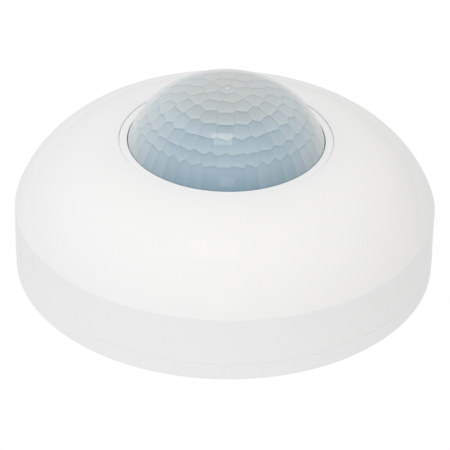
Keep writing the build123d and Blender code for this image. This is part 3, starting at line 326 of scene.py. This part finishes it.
# The nub from its flat top outwards: a share of its radius, and how far that lies below the top
NUB_PROFILE = ((0.7, 0.0), (0.93, 0.03 * MM), (1.0, 0.08 * MM))
NUB_CLEARANCE = 1.1
LENS_ROWS = 165
LENS_INNER_ROWS = 34
LENS_COLUMNS = 490
PROFILE_STEPS = 2000

# Rings of facets round the one at the pole: evenly spaced down the curve apart from the narrower last ring,
# each with a facet at the front, turned a little to one side. Two are staggered by a share of a facet's width.
FACET_RING_COUNT = 7
FACET_PITCH = 4.28 * MM
LAST_PITCH = 2.5 * MM
FACET_TURN = math.radians(-1.2)
STAGGER = {1: 1 / 3, 5: 2 / 3}
FACET_RELIEF = 0.08 * MM
FACET_DEPTH = 0.7 * MM
REFRACTION = 1.5
NEIGHBOURS = 4
BLOCK = 20000
TINY = 1e-9
GRAZING = 0.02

# Painted shade and highlight at the borders: how strongly it answers to a border's direction, how far it
# reaches, and its weight
SHADE_LINE = dict(gain=1.35, fade_mm=0.30, weight=0.34)
SHADE_WASH = dict(gain=1.2, fade_mm=1.4, weight=0.16)
GLOW = dict(gain=1.5, fade_mm=1.2, weight=0.42)
GLOW_GAP_MM = 0.09
GLOW_GAP_SHARE = 0.8
JOINT_FADE_MM = 0.20
RELIEF_FADE_MM = 1.2
RELIEF_JOINT_FADE_MM = 0.4
TONE_SEED = 7


def lens_height(radius, shell):
    """Height of the lens's outer curve, or of the curve that lies shell inside it."""
    share = (radius / (SEMI_RADIUS - shell)) ** POWER
    return CENTRE_HEIGHT + (SEMI_HEIGHT - shell) * (1 - share) ** (1 / POWER)


def even_profile(shell, foot, count):
    """Radii and heights down the curve at even arc steps, with the arc length of each."""
    radius = np.linspace(0, foot, PROFILE_STEPS)
    height = lens_height(radius, shell)
    arc = np.concatenate([[0], np.cumsum(np.hypot(np.diff(radius), np.diff(height)))])
    steps = np.linspace(0, arc[-1], count)
    return np.interp(steps, arc, radius), np.interp(steps, arc, height), steps


def facet_seeds(depth):
    """Centres of the facets in rings of one, six, twelve and so on, moved as a wall that deep shows them."""
    radius, height, arc = even_profile(0.0, FOOT_RADIUS, PROFILE_STEPS)
    middle, turn = [0.0], [0.0]
    for ring in range(1, FACET_RING_COUNT + 1):
        count = 6 * ring
        width = 2 * math.pi / count
        last = ring == FACET_RING_COUNT
        middle += [FACET_PITCH * (ring - 1) + (LAST_PITCH if last else FACET_PITCH)] * count
        first = FACET_TURN - math.pi / 2 + STAGGER.get(ring, 0.0) * width
        turn += [first + index * width for index in range(count)]
    middle, turn = np.array(middle), np.array(turn)
    r, z = np.interp(middle, arc, radius), np.interp(middle, arc, height)
    rise = np.interp(middle, arc, np.gradient(radius, arc))
    fall = -np.interp(middle, arc, np.gradient(height, arc))
    place = np.stack([r * np.cos(turn), r * np.sin(turn), z], -1)
    normal = np.stack([fall * np.cos(turn), fall * np.sin(turn), rise], -1)
    view = np.array(EYE) - place
    view /= np.linalg.norm(view, axis=1, keepdims=True)
    straight = (view * normal).sum(1, keepdims=True)
    aside = view - straight * normal
    bent = np.sqrt(1 - np.clip(straight, GRAZING, 1) ** 2) / REFRACTION
    shift = depth * bent / np.sqrt(1 - bent**2)
    return place + shift * aside / np.maximum(np.linalg.norm(aside, axis=1, keepdims=True), TINY)


def facet_fields(points, depth):
    """Cell of each point, with the distance to each near border and how far towards the top it lies."""
    seeds = facet_seeds(depth)
    cell = np.empty(len(points), int)
    border = np.empty((len(points), NEIGHBOURS))
    upward = np.empty((len(points), NEIGHBOURS))
    for start in range(0, len(points), BLOCK):
        part = slice(start, start + BLOCK)
        away = ((points[part][:, None, :] - seeds[None]) ** 2).sum(-1)
        near = np.argsort(away, axis=1)[:, : NEIGHBOURS + 1]
        away = np.take_along_axis(away, near, 1)
        across = seeds[near[:, 1:]] - seeds[near[:, :1]]
        apart = np.linalg.norm(across, axis=2)
        cell[part] = near[:, 0]
        border[part] = (away[:, 1:] - away[:, :1]) / (2 * apart)
        upward[part] = across @ PICTURE_UP / apart
    return cell, border, upward


def shade_of(border, share, fade_mm):
    """How dark or light the nearest border makes each point, fading out over that distance."""
    return (np.clip(share, 0, 1) * np.exp(-border / (fade_mm * MM))).max(1)


def facet_painted_shading(place):
    """Cell of each point, with its painted light step of shade and highlight, its joint and its height on the
    lens as one colour.
    """
    cell, border, upward = facet_fields(place, FACET_DEPTH)
    # Painted shade: each facet starts darker under the row above it; painted highlight: it brightens towards
    # its lower edge
    shade_line = shade_of(border, upward * SHADE_LINE["gain"], SHADE_LINE["fade_mm"])
    shade_wash = shade_of(border, upward * SHADE_WASH["gain"], SHADE_WASH["fade_mm"])
    # Painted highlight towards each facet's lower edge, kept off the border itself
    glow = shade_of(border, -upward * GLOW["gain"], GLOW["fade_mm"])
    glow = glow * (1 - GLOW_GAP_SHARE * np.exp(-border.min(1) / (GLOW_GAP_MM * MM)))
    colour = np.ones((len(place), 4), np.float32)
    colour[:, 0] = NEUTRAL - SHADE_LINE["weight"] * shade_line - SHADE_WASH["weight"] * shade_wash + GLOW["weight"] * glow
    colour[:, 1] = shade_of(border, 1.0 - abs(upward), JOINT_FADE_MM)
    colour[:, 2] = np.clip((place[:, 2] - FOOT_HEIGHT) / (POLE - FOOT_HEIGHT), 0, 1)
    return cell, colour


def turned_points(radius, height, turns):
    """The profile turned about the axis as one flat list, with the outward normals."""
    slope = np.arctan2(-np.gradient(height), np.gradient(radius))
    heights = np.repeat(height[:, None], len(turns), 1)
    points = np.stack([radius[:, None] * np.cos(turns), radius[:, None] * np.sin(turns), heights], -1)
    upward = np.repeat(np.cos(slope)[:, None], len(turns), 1)
    outward = np.sin(slope)[:, None]
    normal = np.stack([outward * np.cos(turns), outward * np.sin(turns), upward], -1)
    return points.reshape(-1, 3), normal.reshape(-1, 3)


def inner_face(turns):
    """Points of the inner face below its pole, lifted and lowered into facets."""
    radius, height, _ = even_profile(WALL, FOOT_RADIUS - WALL, LENS_INNER_ROWS)
    inside, inward = turned_points(radius, height, turns)
    inside, inward = inside[len(turns) :], inward[len(turns) :]
    _, border, upward = facet_fields(inside, 0.0)
    lift = shade_of(border, -upward, RELIEF_FADE_MM) - shade_of(border, upward, RELIEF_FADE_MM)
    lift = lift - shade_of(border, 1 - abs(upward), RELIEF_JOINT_FADE_MM)
    return inside + inward * (FACET_RELIEF * lift)[:, None]


def lens_surface():
    """Vertices, faces and material slots of the closed lens, from the nub outwards and back up the inside."""
    columns = LENS_COLUMNS
    turns = np.arange(columns) / columns * 2 * np.pi
    out_r, out_z, _ = even_profile(0.0, FOOT_RADIUS, LENS_ROWS)
    keep = out_r > NUB_RADIUS * NUB_CLEARANCE
    outside, _ = turned_points(out_r[keep], out_z[keep], turns)
    inside = inner_face(turns)
    milky_slot, nub_slot = 0, 1
    vertices, faces, slots = [], [], []

    def ring_of(radius, height):
        start = len(vertices)
        for turn in turns:
            vertices.append((radius * math.cos(turn), radius * math.sin(turn), height))
        return start

    def join(a, b, material):
        for i in range(columns):
            j = (i + 1) % columns
            faces.append((a + i, a + j, b + j, b + i))
            slots.append(material)

    def fan(pole, a, material, flip):
        for i in range(columns):
            j = (i + 1) % columns
            faces.append((pole, a + j, a + i) if flip else (pole, a + i, a + j))
            slots.append(material)

    nub = [(NUB_RADIUS * share, lens_high.z - drop) for share, drop in NUB_PROFILE]
    vertices.append((0, 0, lens_high.z))
    previous = ring_of(*nub[0])
    fan(0, previous, nub_slot, False)
    for radius, height in (*nub[1:], (NUB_RADIUS, lens_height(NUB_RADIUS, 0.0))):
        now = ring_of(radius, height)
        join(now, previous, nub_slot)
        previous = now
    outer_start = len(vertices)
    vertices.extend(map(tuple, outside))
    for row in range(keep.sum()):
        now = outer_start + row * columns
        join(now, previous, milky_slot)
        previous = now
    flange_top = lens_low.z + FLANGE_THICKNESS
    for radius, height in (
        (FOOT_RADIUS, flange_top),
        (FLANGE_RADIUS, flange_top),
        (FLANGE_RADIUS, lens_low.z),
        (FOOT_RADIUS - WALL, lens_low.z),
    ):
        now = ring_of(radius, height)
        join(now, previous, milky_slot)
        previous = now
    inner_start = len(vertices)
    vertices.extend(map(tuple, inside))
    join(inner_start + (LENS_INNER_ROWS - 2) * columns, previous, milky_slot)
    for row in range(LENS_INNER_ROWS - 2, 0, -1):
        join(inner_start + (row - 1) * columns, inner_start + row * columns, milky_slot)
    pole_inside = len(vertices)
    vertices.append((0, 0, POLE - WALL))
    fan(pole_inside, inner_start, milky_slot, True)
    return vertices, faces, slots


def build_lens():
    """One closed mesh: the smooth outside with its nub, the flange, and the facets moulded on the inside."""
    vertices, faces, slots = lens_surface()
    mesh = bpy.data.meshes.new("faceted_lens")
    mesh.from_pydata(vertices, [], faces)
    mesh.materials.append(MATERIALS["milky_lens"])
    mesh.materials.append(NUB_WITH_PAINTED_GLINT)
    mesh.polygons.foreach_set("material_index", slots)
    mesh.polygons.foreach_set("use_smooth", [True] * len(faces))
    cell, colour = facet_painted_shading(np.array(vertices))
    mesh.attributes.new("facet", "FLOAT_COLOR", "POINT").data.foreach_set("color", colour.ravel())
    tone = np.random.default_rng(TONE_SEED).random(cell.max() + 1)[cell].astype(np.float32)
    mesh.attributes.new("cell_tone", "FLOAT", "POINT").data.foreach_set("value", tone)
    mesh.update()
    lens = bpy.data.objects.new("faceted_lens", mesh)
    bpy.context.scene.collection.objects.link(lens)
    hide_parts("fresnel_lens")
    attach(lens, "head")


# ---- floor, light and camera --------------------------------------------------------------------

FLOOR_HALF_SIZE = 6.0
FLOOR_GAP = 0.0002
SHEET_HALF_WIDTH = 0.25
SHEET_SPREAD = 0.5
SHEET_LIGHT = 1.0
TABLE_LIGHT = 0.52
LEFT_LIGHT = 0.88
RIGHT_LIGHT = 0.74
WHITE = (1.0, 1.0, 1.0)
SKY_LOW = (0.0, (0.72, 0.72, 0.72))
SKY_HIGH = (1.0, (0.93, 0.94, 0.96))
WARM_TINT = (1.0, 0.985, 0.95)
SKY_LIGHT = 1.005
SKY_TO_THE_RIGHT = -0.14
SKY_TO_THE_BACK = -0.26


def make_floor():
    """A glowing white sheet that widens towards the back, on a dimmer table, painted brighter on the left; the
    camera sees both as plain white.
    """
    size = FLOOR_HALF_SIZE
    mesh = bpy.data.meshes.new("floor")
    corners = [(-size, -size, 0), (size, -size, 0), (size, size, 0), (-size, size, 0)]
    mesh.from_pydata(corners, [], [(0, 1, 2, 3)])
    floor = bpy.data.objects.new("floor", mesh)
    floor.location.z = cad_low.z - FLOOR_GAP
    bpy.context.scene.collection.objects.link(floor)
    n = Nodes(bpy.data.materials.new("glowing_floor_paper"))
    x, y, _ = n.split("ShaderNodeSeparateXYZ", n.place.outputs["Object"])
    half_width = n.math("MULTIPLY_ADD", n.math("MAXIMUM", y, 0.0), SHEET_SPREAD, SHEET_HALF_WIDTH)
    past = n.math("SUBTRACT", n.math("ABSOLUTE", x), half_width)
    sheet = n.spread(past, SHEET_LIGHT, TABLE_LIGHT, start=-0.004, end=0.006)
    # Painted light: the floor glows brighter on the left than on the right, and dimmer past the sheet
    level = n.times(sheet, n.spread(x, LEFT_LIGHT, RIGHT_LIGHT, start=-0.3, end=0.3))
    to_camera = n.add("ShaderNodeLightPath").outputs["Is Camera Ray"]
    glow = n.add("ShaderNodeEmission")
    n.link(n.mix(to_camera, level, WHITE), glow.inputs["Color"])
    mesh.materials.append(n.finish(glow.outputs["Emission"]))


def make_world():
    """Soft studio surroundings, brighter overhead, to the left and to the front; white to the camera."""
    n = Nodes(bpy.data.worlds.new("studio"), "ShaderNodeOutputWorld")
    x, y, z = n.split("ShaderNodeSeparateXYZ", n.place.outputs["Generated"])
    sky = n.ramp(z, SKY_LOW, last=SKY_HIGH)
    warm = n.mix(n.spread(x, low=0.0, high=1.0, start=0.1, end=0.9), sky, WARM_TINT, blend="MULTIPLY")
    across = n.math("MULTIPLY_ADD", x, SKY_TO_THE_RIGHT, SKY_LIGHT)
    lit = n.add("ShaderNodeBackground")
    n.link(warm, lit.inputs["Color"])
    n.link(n.math("MULTIPLY_ADD", y, SKY_TO_THE_BACK, across), lit.inputs["Strength"])
    seen = n.add("ShaderNodeBackground")
    n.put(WHITE, seen.inputs["Color"])
    both = n.add("ShaderNodeMixShader")
    to_camera = n.add("ShaderNodeLightPath").outputs["Is Camera Ray"]
    sources = (to_camera, lit.outputs["Background"], seen.outputs["Background"])
    for source, socket in zip(sources, both.inputs):
        n.link(source, socket)
    bpy.context.scene.world = n.finish(both.outputs["Shader"])


def softbox(name, place, width, height, radiance, colour, target=None):
    """A rectangular lamp facing its target, or straight down without one."""
    data = bpy.data.lights.new(name, "AREA")
    data.shape = "RECTANGLE"
    data.size = width
    data.size_y = height
    data.energy = radiance * math.pi * width * height
    data.color = colour
    lamp = bpy.data.objects.new(name, data)
    lamp.location = place
    if target:
        lamp.rotation_mode = "QUATERNION"
        lamp.rotation_quaternion = (Vector(target) - Vector(place)).to_track_quat("-Z", "Y")
    bpy.context.scene.collection.objects.link(lamp)
    lamp.visible_camera = False


def make_lamps():
    softbox(
        "overhead",
        place=(-0.062, -0.265, 1.0),
        width=0.32,
        height=0.33,
        radiance=3.1,
        colour=(1.0, 0.93, 0.77),
    )
    softbox(
        "front_strip",
        place=(0.04, -1.6, 0.62),
        width=0.46,
        height=0.28,
        radiance=1.25,
        colour=(1.0, 0.95, 0.84),
        target=(0.04, -0.05, 0.02),
    )


def make_camera():
    data = bpy.data.cameras.new("camera")
    data.lens = LENS_MM
    data.sensor_width = SENSOR_MM
    data.clip_start = CAMERA_CLIP
    camera = bpy.data.objects.new("camera", data)
    bpy.context.scene.collection.objects.link(camera)
    look = (CAMERA_AIM - EYE).normalized()
    right = look.cross(Vector((0, 0, 1))).normalized()
    up = right.cross(look)
    roll = math.radians(CAMERA_ROLL)
    right_turned = math.cos(roll) * right + math.sin(roll) * up
    up_turned = math.cos(roll) * up - math.sin(roll) * right
    axes = Matrix((right_turned, up_turned, -look)).transposed().to_4x4()
    camera.matrix_world = Matrix.Translation(EYE) @ axes
    bpy.context.scene.camera = camera


build_lens()
make_floor()
make_world()
make_lamps()
make_camera()
bpy.context.scene.view_settings.view_transform = "Standard"
bpy.context.scene.view_settings.look = "None"
